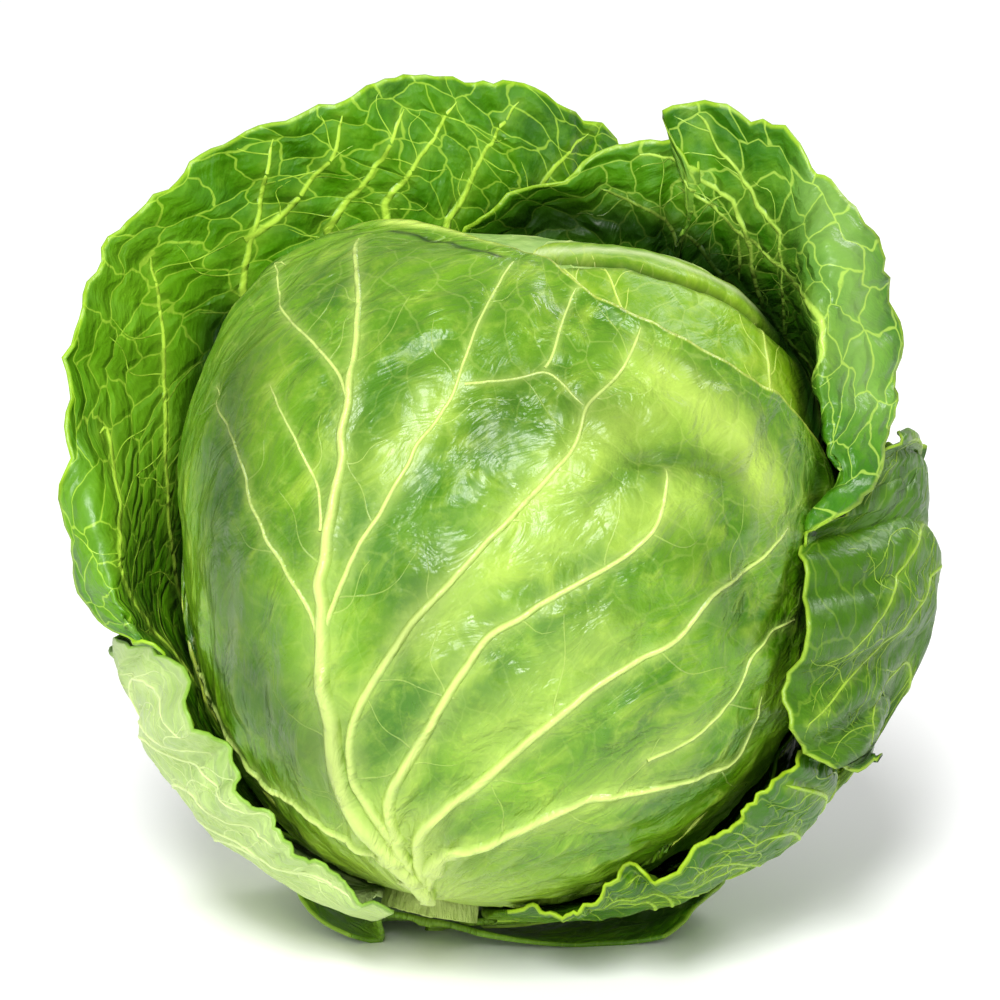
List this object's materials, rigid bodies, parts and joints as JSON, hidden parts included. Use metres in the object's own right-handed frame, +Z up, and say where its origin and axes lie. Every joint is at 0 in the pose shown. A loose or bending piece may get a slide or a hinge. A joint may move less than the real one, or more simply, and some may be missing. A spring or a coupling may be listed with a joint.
{
  "type": "green cabbage head",
  "caption": "Round green cabbage: a dense heart wrapped in smooth head leaves, with loose crinkled wrapper leaves standing off it and a short cut stem, resting on a small flat spot.",
  "frame": {"origin": "middle of the small flat spot under the outermost leaf, on the surface the head rests on", "axes": "+Z up, -Y towards the viewer of the picture (the head leaf with the fan of veins faces it), +X to the viewer's right"},
  "size_m": [0.242, 0.1878, 0.2288],
  "materials": {
    "heart": "satin",
    "stem": "matte, moist where it is cut",
    "head_leaf": "glossy, waxy",
    "waxy_leaf": "satin with a bluish waxy bloom",
    "green_leaf": "satin, crinkled",
    "pale_leaf": "satin, crinkled"
  },
  "bodies": {
    "root": {"heart": "heart", "stem": "stem", "head_leaf_back": "waxy_leaf", "head_leaf_right": "head_leaf", "head_leaf_front": "head_leaf", "wrapper_right": "green_leaf", "wrapper_left": "green_leaf", "wrapper_low_left": "pale_leaf", "wrapper_low_right": "green_leaf", "wrapper_far_right": "waxy_leaf", "wrapper_under": "green_leaf"}
  },
  "joints": []
}
